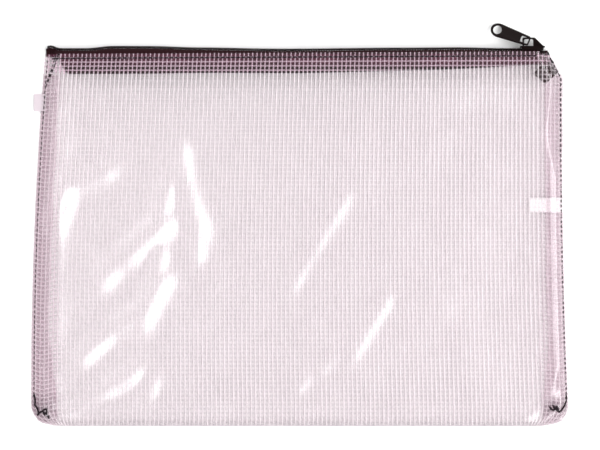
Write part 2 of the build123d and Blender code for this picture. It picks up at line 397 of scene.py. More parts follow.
def end_geometry(tree, geometry, given):
    """Realizes what the tree made, and gives it its material."""
    real = node(tree, "GeometryNodeRealizeInstances", {"Geometry": geometry}).outputs["Geometry"]
    shown = node(tree, "GeometryNodeSetMaterial", {"Geometry": real, "Material": given["Material"]})
    node(tree, "NodeGroupOutput", {"Geometry": shown.outputs["Geometry"]})
    return tree


def grow(made, tree, values):
    """Runs a tree on a piece and keeps what it makes as a plain mesh."""
    modifier = made.modifiers.new(tree.name, "NODES")
    modifier.node_group = tree
    for item in tree.interface.items_tree:
        if item.in_out == "INPUT" and item.name in values:
            modifier[item.identifier] = values[item.name]
    made.data.update_tag()
    graph = bpy.context.evaluated_depsgraph_get()
    graph.update()
    result = bpy.data.meshes.new_from_object(made.evaluated_get(graph))
    made.modifiers.remove(modifier)
    lines = made.data
    made.data = result
    bpy.data.meshes.remove(lines)
    result.name = made.name
    if not result.polygons:
        raise RuntimeError(made.name + " came out empty")
    return made


# Shape of the film

def eased(value):
    """0 below 0, 1 above 1, smooth between."""
    t = min(max(value, 0.0), 1.0)
    return t * t * (3 - 2 * t)


def spread(start, end, count):
    """Evenly spaced values from a start to an end, one more than the count."""
    return [start + (end - start) * k / count for k in range(count + 1)]


def left_slant(y):
    """How far the left seam leans in at a height."""
    rise = max((y - CORNER_Y) / (FILM_TOP - CORNER_Y), 0)
    return LEFT_TOP_INSET * rise - LEFT_SIDE_BOW * 4 * rise * (1 - rise)


def right_slant(y):
    """How far the right seam leans in at a height."""
    rise = min(max((y - CORNER_Y) / (SHOULDER_Y - CORNER_Y), 0), 1)
    return RIGHT_SHOULDER_INSET * rise + RIGHT_SIDE_BOW * 4 * rise * (1 - rise)


def rounding(y):
    """How far a bottom corner's curve comes in at this height."""
    drop = min(max(CORNER_Y - y, 0), CORNER_RADIUS)
    return CORNER_RADIUS - math.sqrt(CORNER_RADIUS ** 2 - drop ** 2)


def corner_cut(y):
    """How far the slanted corner at the closed end of the zip comes in at a height."""
    return CORNER_CUT_WIDTH * max((y - SHOULDER_Y) / CORNER_CUT_HEIGHT, 0)


def left_edge(y):
    """X of the left outline."""
    return -HALF_WIDTH + left_slant(y) + rounding(y)


def right_edge(y):
    """X of the right outline."""
    return HALF_WIDTH - right_slant(y) - rounding(y) - corner_cut(y)


def across(share, y):
    """X of an upright yarn: it leans with the seams, and is gathered in at the bottom corners."""
    flat = HALF_WIDTH * (2 * share - 1)
    lean = left_slant(y) * (1 - share) - right_slant(y) * share
    near_left = 1 - eased((flat + HALF_WIDTH) / CORNER_GATHER)
    near_right = 1 - eased((HALF_WIDTH - flat) / CORNER_GATHER)
    return flat + lean + rounding(y) * (near_left - near_right)


def seam_run(y, between):
    """How far from a seam the front film has risen: between the zip and the fold, and nearer to either."""
    at_zip = eased((y - SHOULDER_HIGH) / (TAPE_LOW.y - SHOULDER_HIGH))
    at_fold = 1 - eased((y - FOLD_AXIS_Y) / SIDE_RUN)
    run = between + (ZIP_END_RUN - between) * at_zip
    return run + (FOLD_RUN - run) * at_fold


def front_level(x, y, film):
    """Height of the front film's middle, before its sag and creases."""
    rise = min(max((y - FOLD_AXIS_Y) / (TAPE_LOW.y - FOLD_AXIS_Y), 0), 1)
    crown = FOLD_UNDER + (ZIP_UNDER - FOLD_UNDER) * rise
    from_left, from_right = x - left_edge(y), right_edge(y) - x
    if from_left < from_right:
        ledge = LEDGE_SLOPE * min(max(from_left - LEDGE_START, 0), LEDGE_WIDTH)
        ledge *= eased((CORNER_CALM - abs(y)) / SIDE_RUN)
        lift = eased((from_left - SEAM_LAND - LEDGE_WIDTH / 2) / seam_run(y, SIDE_RUN))
    else:
        ledge = 0.0
        wide = eased((y - SHOULDER_LOW) / (SHOULDER_HIGH - SHOULDER_LOW))
        run = RIGHT_RUN + (SHOULDER_RUN - RIGHT_RUN) * wide
        slope = LEDGE_SLOPE * eased((CORNER_CALM + y) / SIDE_RUN) * (1 - eased((y - SHOULDER_HIGH) / SIDE_RUN))
        crown -= slope * min(max(RIGHT_LAND + run + RIGHT_LEDGE - from_right, 0), RIGHT_LEDGE)
        lift = eased((from_right - RIGHT_LAND) / seam_run(y, run))
    return SEAM_UNDER + film.thickness / 2 + ledge + (crown - SEAM_UNDER - ledge) * lift


# Creases of the front: both ends, half width and height, in millimetres
CREASES = (
    (-126, 43, -148, 33, 8.0, 2.6),
    (-148, 32, -160, 14, 9.0, 2.6),
    (-85, 31, -91, 8, 9.0, 2.9),
    (-91, 8, -110, -8, 10.0, 3.4),
    (-110, -8, -124, -22, 9.0, 2.7),
    (-90, -12, -92, -31, 7.0, 2.3),
    (-92, -31, -99, -45, 9.0, 3.0),
    (-99, -45, -114, -53, 8.0, 2.8),
    (-114, -53, -137, -72, 7.0, 2.3),
    (-108, -85, -153, -111, 7.0, 2.3),
    (-94, -90, -98, -101, 6.0, 1.5),
    (-162, -82, -155, -92, 3.5, 1.0),
    (-155, -92, -146, -94, 3.5, 1.0),
    (-77, 55, -74, 33, 8.0, 2.5),
    (-74, 33, -66.5, 10, 8.0, 2.5),
    (-66.5, 10, -66, -5, 6.0, 1.8),
    (28, 27, -5.5, -28.5, 5.0, 0.95),
    (53, -39.5, 34, -71, 5.0, 0.95),
    (20, -75, 14, -80, 4.0, 0.9),
    (3, -88, -1, -93, 4.0, 0.9),
    (164, -85, 143.5, -111.5, 5.0, 1.3),
    (40, 70, 110, 48, 18.0, 1.0),
    (-120, 74, -60, 84, 12.0, 0.8),
    (70, -20, 100, -60, 14.0, 0.8),
)
CREASE_END = 1.6
RIPPLE_LENGTH = 34 * MM
RIPPLE_SEED = 4.7
RIPPLE_SWING = 2
SMALL_RIPPLE = 0.5
CALM_AT_SIDES = 26 * MM
CALM_AT_ZIP = 30 * MM
CALM_AT_FOLD = 16 * MM
CREASE_CALM_PART = 4


def crease(x, y, x0, y0, x1, y1, half_width, height):
    """Height of one crease at a point; everything in millimetres."""
    along_x, along_y = x1 - x0, y1 - y0
    length = math.hypot(along_x, along_y)
    along = ((x - x0) * along_x + (y - y0) * along_y) / length
    off = ((x - x0) * along_y - (y - y0) * along_x) / length
    beyond = max(-along, along - length, 0) / (CREASE_END * half_width)
    fade = math.exp(-beyond * beyond)
    return height * fade * math.exp(-((off / half_width) ** 2))


def relief(x, y, film):
    """How far the front film stands above or below its plain level."""
    inset = min(x - left_edge(y), right_edge(y) - x)
    calm = eased((TAPE_LOW.y - y) / CALM_AT_ZIP) * eased((y - FOLD_AXIS_Y) / CALM_AT_FOLD)
    middle = calm * eased((inset - SEAM_LAND) / CALM_AT_SIDES)
    waves = noise.noise(Vector((x / RIPPLE_LENGTH, y / RIPPLE_LENGTH, RIPPLE_SEED)))
    waves += SMALL_RIPPLE * noise.noise(Vector((2 * x / RIPPLE_LENGTH, 2 * y / RIPPLE_LENGTH, -RIPPLE_SEED)))
    raised = max(crease(x / MM, y / MM, *c) for c in CREASES) * MM * film.crease_scale
    near = eased((TAPE_LOW.y - y) / CALM_AT_ZIP) * eased((y - FOLD_AXIS_Y) / (CALM_AT_FOLD / CREASE_CALM_PART))
    near *= eased((inset - SEAM_LAND) / (CALM_AT_SIDES / CREASE_CALM_PART))
    return middle * (waves * film.ripple * RIPPLE_SWING - film.sag) + near * raised


# The film's sewn edge at the open end of the zip, and its rise from there, in millimetres
TOP_START, TOP_RISE = -0.6, 1.8


def film_top(x):
    """The film's sewn edge rises a little towards the closed end of the zip."""
    return FILM_TOP + (TOP_START + TOP_RISE * (x + HALF_WIDTH) / (2 * HALF_WIDTH)) * MM


FOLD_STEPS = 8
FILM_FINE = 2


def fold_at(share, film):
    """Height of the fold's axis in a column and the fold's radius there: its outside follows the rounded corners."""
    x = across(share, FOLD_AXIS_Y)
    radius = (front_level(x, FOLD_AXIS_Y, film) - film.thickness / 2) / 2
    beyond = max(abs(x) - HALF_WIDTH + CORNER_RADIUS, 0)
    lowest = CORNER_Y - math.sqrt(CORNER_RADIUS ** 2 - beyond ** 2)
    return lowest + radius + film.thickness / 2, radius


def front_rows(film, scrim):
    """Points of the front film's middle, from the back's lower edge round the fold and up to the zip."""
    count = round((FILM_TOP - FOLD_AXIS_Y) / scrim.pitch)
    shares = spread(0, 1, scrim.columns * FILM_FINE)
    folds = [fold_at(share, film) for share in shares]
    rows = []
    for step in range(FOLD_STEPS):
        turn = math.pi * step / FOLD_STEPS
        row = []
        for share, (axis, radius) in zip(shares, folds):
            y = axis - radius * math.sin(turn)
            row.append((across(share, y), y, film.thickness / 2 + radius * (1 - math.cos(turn))))
        rows.append(row)
    for step in range(count + 1):
        row = []
        for share, (axis, radius) in zip(shares, folds):
            y = axis + (FILM_TOP - axis) * step / count
            x = across(share, y)
            low = film.thickness / 2 + 2 * radius
            z = low + (front_level(x, y, film) - low) * min(step, 1) + relief(x, y, film)
            row.append((x, y + (film_top(x) - FILM_TOP) * eased((y - TAPE_LOW.y) / (FILM_TOP - TAPE_LOW.y)), z))
        rows.append(row)
    return np.array(rows)


BACK_FIRST_ROW = 200
BACK_SHIFT = (-0.3 * MM, -0.88 * MM)
BACK_TURN = math.radians(0.04)


def back_rows(film, scrim):
    """Points of the back film's middle, from the zip down to the fold."""
    count = round((FILM_TOP - FOLD_AXIS_Y) / scrim.pitch)
    rows = []
    for step in range(count + 1):
        row = []
        for column in range(scrim.columns + 1):
            share = column / scrim.columns
            y = FILM_TOP + (fold_at(share, film)[0] - FILM_TOP) * step / count
            row.append((across(share, y), y, film.thickness / 2))
        rows.append(row)
    return np.array(rows)


REACH_STEPS = 200


def mean_reach(edge):
    """Mean distance of a side's outline from the wallet's middle, for the area of the cut film."""
    return sum(abs(edge(y)) for y in spread(FOLD_AXIS_Y, FILM_TOP, REACH_STEPS)) / (REACH_STEPS + 1)


def half_of(side, middle):
    """The columns of the left or the right half, up to the middle one."""
    return slice(0, middle + 1) if side == "left" else slice(middle, None)


def outward(rows):
    """Outward normals of a grid of points."""
    side = np.gradient(rows, axis=1)
    up = np.gradient(rows, axis=0)
    normals = np.cross(side, up)
    return normals / np.linalg.norm(normals, axis=2, keepdims=True)


def shell(name, rows, normals, thickness, left=True, right=True, first_row=0, fine=1):
    """A thin sheet round a grid of points; a side rim that meets a neighbour can be left off."""
    height, width = rows.shape[:2]
    outer = rows + normals * thickness / 2
    inner = rows - normals * thickness / 2
    vertices = np.concatenate([outer.reshape(-1, 3), inner.reshape(-1, 3)])

    def out(j, i):
        """Number of a point of the outer face."""
        return j * width + i

    def back(j, i):
        """Number of the point behind it."""
        return height * width + out(j, i)

    faces = []
    for j in range(height - 1):
        for i in range(width - 1):
            faces.append((out(j, i), out(j, i + 1), out(j + 1, i + 1), out(j + 1, i)))
            faces.append((back(j, i), back(j + 1, i), back(j + 1, i + 1), back(j, i + 1)))
    last_i, last_j = width - 1, height - 1
    for j in range(height - 1):
        if left:
            faces.append((out(j, 0), out(j + 1, 0), back(j + 1, 0), back(j, 0)))
        if right:
            faces.append((out(j + 1, last_i), out(j, last_i), back(j, last_i), back(j + 1, last_i)))
    for i in range(width - 1):
        faces.append((out(0, i + 1), out(0, i), back(0, i), back(0, i + 1)))
        faces.append((out(last_j, i), out(last_j, i + 1), back(last_j, i + 1), back(last_j, i)))
    made = mesh_object(name, vertices, faces)
    weave = made.data.uv_layers.new(name="weave")
    for loop in made.data.loops:
        place = loop.vertex_index % (height * width)
        weave.data[loop.index].uv = (place % width / fine, first_row + place // width)
    for edge in made.data.edges:
        ends = [divmod(vertex % (height * width), width) for vertex in edge.vertices]
        along = all(j in (0, last_j) for j, _ in ends) or all(i in (0, last_i) for _, i in ends)
        edge.use_edge_sharp = along and ends[0] != ends[1]
    return made


CUT_TOLERANCE = 0.001 * MM


def cut_corner(made):
    """Cuts a piece off along the slanted corner at the closed end of the zip."""
    shape = bmesh.new()
    shape.from_mesh(made.data)
    cut = bmesh.ops.bisect_plane(
        shape, geom=shape.verts[:] + shape.edges[:] + shape.faces[:], dist=CUT_TOLERANCE, clear_outer=True,
        plane_co=(HALF_WIDTH - right_slant(SHOULDER_Y), SHOULDER_Y, 0),
        plane_no=Vector((CORNER_CUT_HEIGHT, CORNER_CUT_WIDTH, 0)).normalized())
    bmesh.ops.holes_fill(shape, edges=[e for e in cut["geom_cut"] if isinstance(e, bmesh.types.BMEdge)])
    shape.to_mesh(made.data)
    shape.free()
    return made


def hold_left(made):
    """Bakes the piece's transform into its mesh."""
    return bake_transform(made)


def hold_right(made):
    """Bakes the piece's transform into its mesh."""
    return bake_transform(made)


HALVES = (("left", hold_left), ("right", hold_right))


# Materials

CLEAR_HAZE, TURNED_HAZE = 0.003, 0.10
HAZE_ROUGHNESS, HAZE_IOR, HAZE_SPECULAR = 0.45, 1.45, 0.3
RIDGE_POWER = 4.0
RIDGE_STRENGTH, RIDGE_DEPTH = 0.10, 0.2 * MM
MOTTLE_SCALE, MOTTLE_SHARE, MOTTLE_LIGHT = 60.0, 0.08, 1.008
FOLD_SHADE = (0.79, 0.77, 0.78)
FOLD_SHADE_ROWS, FOLD_SHADE_SHARE = 4.5, 0.9
GLOSS_ROUGHNESS = 0.23
GLANCE_POWER = 5.0
LEAST_SHINE, MOST_SHINE = 0.042, 0.15


def film_material(name, clear, film, haze):
    """Clear film: tinted where it is looked through, with painted shade along the bottom fold, milky a little,
    glossy, and ridged over the yarn.
    """
    material, tree = shader_tree(name)
    weave = parts_of(tree, node(tree, "ShaderNodeTexCoord").outputs["UV"])
    ridges = []
    for axis in (0, 1):
        swing = maths(tree, "COSINE", maths(tree, "MULTIPLY", weave[axis], 2 * math.pi))
        ridges.append(maths(tree, "POWER", lifted(tree, swing), RIDGE_POWER))
    bump = bumped(tree, maths(tree, "MAXIMUM", *ridges), RIDGE_STRENGTH, RIDGE_DEPTH)
    mottle = maths(tree, "MULTIPLY", clouds(tree, object_place(tree), MOTTLE_SCALE, detail=3.0), MOTTLE_SHARE)
    # Painted shade: the tint is darker over the rows nearest the bottom fold
    from_fold = maths(tree, "ABSOLUTE", maths(tree, "SUBTRACT", weave[1], FOLD_STEPS / 2))
    off_fold = maths(tree, "MINIMUM", maths(tree, "DIVIDE", from_fold, FOLD_SHADE_ROWS), 1.0)
    at_fold = maths(tree, "MULTIPLY", maths(tree, "SUBTRACT", 1.0, off_fold), FOLD_SHADE_SHARE)
    shaded = tuple(c * share for c, share in zip(clear, FOLD_SHADE))
    tint = mixed(tree, maths(tree, "ADD", mottle, at_fold), scaled(clear, MOTTLE_LIGHT), shaded)
    through = node(tree, "ShaderNodeBsdfTransparent", {"Color": tint})
    milky = node(tree, "ShaderNodeBsdfPrincipled", {
        "Base Color": opaque(film.haze), "Roughness": HAZE_ROUGHNESS, "IOR": HAZE_IOR,
        "Specular IOR Level": HAZE_SPECULAR})
    body = node(tree, "ShaderNodeMixShader", {0: haze, 1: through.outputs[0], 2: milky.outputs[0]})
    gloss = node(tree, "ShaderNodeBsdfGlossy", {"Color": (1, 1, 1, 1), "Roughness": GLOSS_ROUGHNESS, "Normal": bump})
    facing = node(tree, "ShaderNodeLayerWeight", {"Normal": bump}).outputs["Facing"]
    glance = maths(tree, "POWER", facing, GLANCE_POWER)
    shine = maths(tree, "MINIMUM", maths(tree, "MAXIMUM", glance, LEAST_SHINE), MOST_SHINE)
    return end_shader(material, node(tree, "ShaderNodeMixShader", {
        0: shine, 1: body.outputs[0], 2: gloss.outputs[0]}).outputs[0])


TURNED_FROM, TURNED_RUN = 150.5 * MM, 5 * MM
TAPE_BLUR = 1 * MM
FIBRE_SCALE = 2400.0
FIBRE_SHADE = (0.94, 0.94, 0.94)


def yarn_material(name, colour, cover, sewn_cover, scrim):
    """White yarn soaked in film: it hides a part of what lies behind, another part over the tape and the seams."""
    material, tree = shader_tree(name)
    place = object_place(tree)
    parts = parts_of(tree, place)
    along = ramp(tree, parts[0], ZIP_LEFT, ZIP_RIGHT)
    rise = maths(tree, "MULTIPLY", maths(tree, "POWER", along, TAPE_RISE_POWER), TAPE_RISE)
    height = maths(tree, "SUBTRACT", parts[1], rise)
    on_tape = ramp(tree, height, TAPE_LOW.y - TAPE_BLUR, TAPE_LOW.y + TAPE_BLUR)
    on_seam = ramp(tree, maths(tree, "ABSOLUTE", parts[0]), TURNED_FROM, TURNED_FROM + TURNED_RUN)
    hides = ramp(tree, maths(tree, "MAXIMUM", on_tape, on_seam), 0.0, 1.0, cover, sewn_cover)
    plain = mixed(tree, on_tape, mixed(tree, on_seam, colour, scrim.seam_colour), scrim.sewn_colour)
    fibre = clouds(tree, place, FIBRE_SCALE, detail=2.0)
    tone = mixed(tree, fibre, plain, FIBRE_SHADE, "MULTIPLY")
    yarn = principled(tree, tone, roughness=0.6, specular=0.2, normal=bumped(tree, fibre, strength=0.3))
    through = node(tree, "ShaderNodeBsdfTransparent", {"Color": (1, 1, 1, 1)})
    return end_shader(material, node(tree, "ShaderNodeMixShader", {
        0: hides, 1: through.outputs[0], 2: yarn}).outputs[0])


HERRINGBONE_WIDTH, WALE_PITCH = 1.2 * MM, 0.55 * MM
# Where the painted sheen lies on the tape: under the film's top edge, and from a few millimetres above the tape's
# lower edge
SHEEN_BELOW, SHEEN_FROM, SHEEN_TO = 1 * MM, 4 * MM, 8 * MM
SHEEN_SCALE = 45.0


def tape_material(settings):
    """Black herringbone tape, with a paler lilac painted sheen in clouds under the film."""
    material, tree = shader_tree("black herringbone tape")
    place = object_place(tree)
    parts = parts_of(tree, place)
    slant = maths(tree, "PINGPONG", parts[1], HERRINGBONE_WIDTH)
    wale = wave(tree, maths(tree, "ADD", parts[0], slant), WALE_PITCH)
    woven = mixed(tree, lifted(tree, wale), scaled(settings.tape_colour, 0.7), scaled(settings.tape_colour, 1.5))
    under_film = ramp(tree, parts[1], FILM_TOP, FILM_TOP - SHEEN_BELOW)
    off_edge = ramp(tree, parts[1], TAPE_LOW.y + SHEEN_FROM, TAPE_LOW.y + SHEEN_TO)
    cloud = clouds(tree, place, SHEEN_SCALE, detail=1.0)
    # Painted sheen in clouds, under the film and off the tape's lower edge
    painted_sheen = maths(tree, "MULTIPLY", maths(tree, "MULTIPLY", under_film, off_edge), cloud)
    tone = mixed(tree, painted_sheen, woven, settings.painted_sheen_colour)
    bump = bumped(tree, wale, strength=0.4)
    return end_shader(material, principled(tree, tone, roughness=0.85, specular=0.06, normal=bump))


def speckled_material(name, colour, roughness, specular, grain, depth):
    """A dark finish with a fine grain in its tone and its surface."""
    material, tree = shader_tree(name)
    speck = clouds(tree, object_place(tree), grain, detail=3.0)
    tone = mixed(tree, speck, scaled(colour, 0.75), scaled(colour, 1.25))
    return end_shader(material, principled(tree, tone, roughness, specular, bumped(tree, speck, depth)))


RIB_PITCH = 0.35 * MM


def ribbon_material(name, colour):
    """Off-white satin with a fine rib across."""
    material, tree = shader_tree(name)
    rib = wave(tree, parts_of(tree, object_place(tree))[1], RIB_PITCH)
    tone = mixed(tree, lifted(tree, rib), scaled(colour, 0.95), scaled(colour, 1.05))
    bump = bumped(tree, rib, strength=0.2)
    return end_shader(material, principled(tree, tone, roughness=0.4, specular=0.4, normal=bump))


def floor_material(colour):
    """Plain pale floor with a faint unevenness."""
    material, tree = shader_tree("pale floor")
    cloud = clouds(tree, object_place(tree), scale=8.0, detail=2.0)
    tone = mixed(tree, cloud, scaled(colour, 0.995), scaled(colour, 1.005))
    return end_shader(material, principled(tree, tone, roughness=0.9, specular=0.0))


# Geometry Nodes trees

YARN_SIDES, THREAD_SIDES = 4, 6
BEAD_SEGMENTS, BEAD_RINGS = 8, 6
TURN_STEPS = 10


def lines_of(tree, given):
    """The lines that a piece is drawn with, as curves."""
    return node(tree, "GeometryNodeMeshToCurve", {"Mesh": given["Geometry"]}).outputs[0]


def circle(tree, sides, radius):
    """A round section."""
    return node(tree, "GeometryNodeCurvePrimitiveCircle", {"Resolution": sides, "Radius": radius}).outputs[0]


def sized(tree, shape, x, y, z):
    """A shape of unit size, made as large as it is wanted each way."""
    size = node(tree, "ShaderNodeCombineXYZ", {0: x, 1: y, 2: z}).outputs[0]
    return node(tree, "GeometryNodeTransform", {"Geometry": shape, "Scale": size}).outputs[0]


def swept(tree, curves, profile):
    """A closed tube of a section along every curve."""
    return node(tree, "GeometryNodeCurveToMesh", {
        "Curve": curves, "Profile Curve": profile, "Fill Caps": True}).outputs[0]


def yarn_tree():
    """Flat yarn along every line."""
    tree, given = geometry_tree("scrim yarn", ("Width", "Thickness"))
    lines = node(tree, "GeometryNodeSetCurveNormal", {"Curve": lines_of(tree, given)}, mode="Z_UP").outputs[0]
    profile = sized(tree, circle(tree, YARN_SIDES, 0.5), given["Width"], given["Thickness"], 1.0)
    return end_geometry(tree, swept(tree, lines, profile), given)


def stitch_tree():
    """Stitches along every line, each a short length of thread that dips in at both ends."""
    tree, given = geometry_tree("stitches", ("Pitch", "Length", "Thread"))
    points = node(tree, "GeometryNodeCurveToPoints", {
        "Curve": lines_of(tree, given), "Length": given["Pitch"]}, mode="LENGTH").outputs
    bead = node(tree, "GeometryNodeMeshUVSphere", {
        "Segments": BEAD_SEGMENTS, "Rings": BEAD_RINGS, "Radius": 0.5}).outputs[0]
    bead = sized(tree, bead, given["Thread"], given["Thread"], given["Length"])
    row = node(tree, "GeometryNodeInstanceOnPoints", {
        "Points": points["Points"], "Instance": bead, "Rotation": points["Rotation"]}).outputs[0]
    return end_geometry(tree, row, given)


def cord_tree():
    """Round thread along every line."""
    tree, given = geometry_tree("loose thread", ("Thread",))
    profile = circle(tree, THREAD_SIDES, maths(tree, "DIVIDE", given["Thread"], 2.0))
    return end_geometry(tree, swept(tree, lines_of(tree, given), profile), given)


def coil_tree():
    """A filament wound round every line."""
    tree, given = geometry_tree("coil", ("Pitch", "Wire", "Half width", "Half height", "Phase"))
    step = maths(tree, "DIVIDE", given["Pitch"], float(TURN_STEPS))
    lines = node(tree, "GeometryNodeResampleCurve", {
        "Curve": lines_of(tree, given), "Length": step}, mode="LENGTH").outputs[0]
    turn = maths(tree, "MULTIPLY", node(tree, "GeometryNodeInputIndex").outputs[0], 2 * math.pi / TURN_STEPS)
    turn = maths(tree, "ADD", turn, given["Phase"])
    out = maths(tree, "MULTIPLY", maths(tree, "COSINE", turn), given["Half width"])
    up = maths(tree, "MULTIPLY", maths(tree, "SINE", turn), given["Half height"])
    move = node(tree, "ShaderNodeCombineXYZ", {0: 0.0, 1: up, 2: out}).outputs[0]
    wound = node(tree, "GeometryNodeSetPosition", {"Geometry": lines, "Offset": move}).outputs[0]
    profile = circle(tree, THREAD_SIDES, maths(tree, "DIVIDE", given["Wire"], 2.0))
    return end_geometry(tree, swept(tree, wound, profile), given)


# Operators

class WALLET_OT_film(bpy.types.Operator):
    """Makes the clear film: the back, and the front's two halves with the fold"""

    bl_idname = "wallet.film"
    bl_label = "Film"

    def execute(self, context):
        film, scrim = context.scene.wallet_film, context.scene.wallet_scrim
        clear = film_material("clear film", film.tint, film, CLEAR_HAZE)
        rows = front_rows(film, scrim)
        normals = outward(rows)
        middle = scrim.columns // 2 * FILM_FINE
        length = FILM_TOP - FOLD_AXIS_Y + math.pi * FOLD_UNDER / 2
        for side, hold in HALVES:
            part = half_of(side, middle)
            made = shell("front_film_" + side, rows[:, part], normals[:, part], film.thickness, fine=FILM_FINE)
            finish_mesh(cut_corner(made), clear)
            hold(made)
            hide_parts("front_panel", "bottom_fold")
            edge = left_edge if side == "left" else right_edge
            length * mean_reach(edge)
        rows = back_rows(film, scrim)
        made = shell("back_film", rows, outward(rows), film.thickness, first_row=BACK_FIRST_ROW)
        finish_mesh(cut_corner(made), clear)
        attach(made, "back")
        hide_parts("back_panel")
        length = FILM_TOP - FOLD_AXIS_Y
        length * (mean_reach(left_edge) + mean_reach(right_edge))
        return {"FINISHED"}


class WALLET_OT_turnings(bpy.types.Operator):
    """Makes the film's edges that are turned in along both side seams"""

    bl_idname = "wallet.turnings"
    bl_label = "Seam turnings"

    WIDTH = 11 * MM
    BOTTOM_WIDTH = 16.5 * MM
    WIDEN_FROM, WIDEN_TO = -55 * MM, -108 * MM
    FOLD_GAP, ZIP_GAP, SEAM_GAP, SKIN = 1.8 * MM, 1 * MM, 0.3 * MM, 0.1 * MM
    WAVER, WAVER_RATE, WAVER_SEED = 1.2 * MM, 40, 0.3
    CURL, CURL_RATE, CURL_SEED = 0.55 * MM, 55, 2.1
    STEPS = 96
    COLUMNS = 8

    def execute(self, context):
        film = context.scene.wallet_film
        doubled = film_material("turned-in film", film.seam_tint, film, TURNED_HAZE)
        for side, edge, inward in (("left", left_edge, 1), ("right", right_edge, -1)):
            rows, widths = [], []
            low, high = CAD_LOW.y + self.FOLD_GAP, TAPE_LOW.y - self.ZIP_GAP
            for y in spread(low, high, self.STEPS):
                wide = eased((y - self.WIDEN_FROM) / (self.WIDEN_TO - self.WIDEN_FROM))
                reach = self.WIDTH + (self.BOTTOM_WIDTH - self.WIDTH) * wide - rounding(y)
                reach += self.WAVER * noise.noise(Vector((y * self.WAVER_RATE, inward, self.WAVER_SEED)))
                widths.append(reach)
                row = []
                for column in range(self.COLUMNS + 1):
                    share = column / self.COLUMNS
                    if inward < 0:
                        share = 1 - share
                    x = edge(y) + inward * (self.SEAM_GAP + (reach - self.SEAM_GAP) * share)
                    loose = 1 + noise.noise(Vector((y * self.CURL_RATE, inward, self.CURL_SEED)))
                    lift = self.CURL * share ** 2 * loose
                    row.append((x, y, (TURNING_LOW.z + TURNING_HIGH.z) / 2 + self.SKIN + lift))
                rows.append(row)
            rows = np.array(rows)
            made = shell(side + "_turned_film", rows, outward(rows), TURNING_HIGH.z - TURNING_LOW.z - self.SKIN)
            finish_mesh(made, doubled)
            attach(made, "back")
            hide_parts(side + "_seam_turning")
        return {"FINISHED"}


class WALLET_OT_scrim(bpy.types.Operator):
    """Weaves the white yarn into the film"""

    bl_idname = "wallet.scrim"
    bl_label = "Scrim"

    TOP_GAP = 0.5 * MM
    tree = None

    def weave(self, name, rows, first, last, place):
        """The uprights and the cross yarns of a stretch of columns; the fold carries a cross yarn every other row."""
        scrim = bpy.context.scene.wallet_scrim
        edge = rows.shape[1] - 1
        last_upright = last if last < edge else last - 1
        uprights = [rows[:, i] for i in range(first + 1, last_upright + 1)]
        crosses = [rows[j, first:last + 1] for j in range(1, rows.shape[0] - 1) if j > FOLD_STEPS or j % 2]
        upright = scrim.upright_width, scrim.upright_colour, scrim.upright_cover, scrim.upright_sewn_cover
        cross = scrim.cross_width, scrim.cross_colour, scrim.cross_cover, scrim.cross_sewn_cover
        for kind, lines, (width, *look) in (("uprights", uprights, upright), ("crosses", crosses, cross)):
            title = "white scrim " + kind
            white = bpy.data.materials.get(title) or yarn_material(title, *look, scrim)
            made = polylines(name + "_" + kind, lines)
            grow(made, self.tree, {"Material": white, "Width": width, "Thickness": scrim.thickness})
            place(finish_mesh(cut_corner(made), white))

    def execute(self, context):
        film, scrim = context.scene.wallet_film, context.scene.wallet_scrim
        self.tree = yarn_tree()
        rows = front_rows(film, scrim)[:, ::FILM_FINE]
        middle = scrim.columns // 2
        self.weave("front_left", rows, 0, middle, hold_left)
        self.weave("front_right", rows, middle, scrim.columns, hold_right)
        rows = back_rows(film, scrim)[:, 1:-1]
        rows[:, :, 0] += BACK_SHIFT[0] + math.sin(BACK_TURN) * rows[:, :, 1]
        rows[:, :, 1] = np.clip(
            rows[:, :, 1] + BACK_SHIFT[1] - math.sin(BACK_TURN) * rows[:, :, 0], FOLD_AXIS_Y, FILM_TOP - self.TOP_GAP)
        self.weave("back", rows, 0, rows.shape[1] - 1, lambda made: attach(made, "back"))
        return {"FINISHED"}


# How far the chain stands above its straight line, along the zip, in millimetres
CHAIN_BOW = (
    (-162, 1.0), (-158, 1.9), (-152, 0.0), (-135, 0.0), (-118, 1.4), (-95, 1.3), (-63, 0.4), (-12, -0.4), (63, 0.3),
    (101, 0.5), (128, 0.0), (165, 0.0))


def chain_bow(x):
    """Height of the chain over its straight line at a place along the zip."""
    place = x / MM
    for (x0, h0), (x1, h1) in zip(CHAIN_BOW, CHAIN_BOW[1:]):
        if place <= x1:
            return (h0 + (h1 - h0) * eased((place - x0) / (x1 - x0))) * MM
    return 0.0


ZIP_MIDDLE_Z = (BACK_TAPE_LOW.z + TAPE_HIGH.z) / 2
TAPE_THICKNESS = 0.36 * MM
TAPE_GAP = 0.05 * MM
EDGE_REACH = 1.6 * MM
ZIP_LEFT = -161 * MM
ZIP_RIGHT = 157 * MM
CHAIN_FILM = 4 * MM
TAPE_RISE = 6 * MM
TAPE_RISE_POWER = 3
ZIP_STEPS = 120


def chain_level(x, film):
    """Height of the chain's middle: half way between the tapes, and clear of the floor at the ends."""
    under = front_level(x, TAPE_LOW.y + CHAIN_FILM, film) - film.thickness / 2
    return max((under + BACK_TAPE_LOW.z) / 2, COIL_HIGH.z - ZIP_MIDDLE_Z + BACK_TAPE_LOW.z)


def tape_level(x, y, film):
    """Height of the front tape's middle, close under the film."""
    return front_level(x, min(y, FILM_TOP), film) - (film.thickness + TAPE_THICKNESS) / 2 - TAPE_GAP


